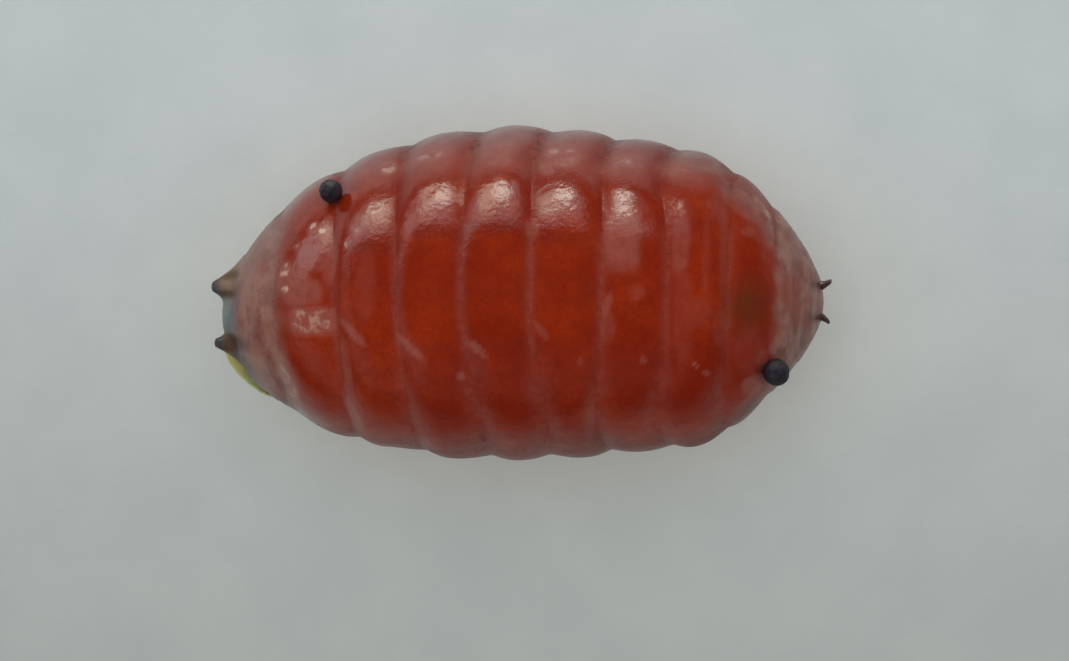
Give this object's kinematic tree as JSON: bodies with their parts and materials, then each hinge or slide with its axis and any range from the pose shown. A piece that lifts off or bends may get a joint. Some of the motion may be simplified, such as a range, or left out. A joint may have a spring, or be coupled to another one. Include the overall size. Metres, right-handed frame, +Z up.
{
  "type": "puparium",
  "caption": "Hardened pupal case of a leaf-mining fly, a glossy red-brown ringed barrel with breathing horns, stuck droppings and a shred of leaf; it lies on its belly.",
  "frame": {"origin": "middle of the base of the part's box, on the surface it lies on", "axes": "+X towards the head end along the barrel, +Y towards the flank with the rear dropping, +Z up through the back"},
  "size_m": [0.0024, 0.0014, 0.0011],
  "materials": {
    "skin": "glossy, slightly see-through, red-brown",
    "frass": "dark, dried, slightly shiny",
    "leaf": "dry yellow-green leaf tissue"
  },
  "bodies": {
    "root": {"puparium": "skin", "frass_grain_rear": "frass", "frass_grain_front": "frass", "leaf_shred": "leaf"}
  },
  "joints": []
}
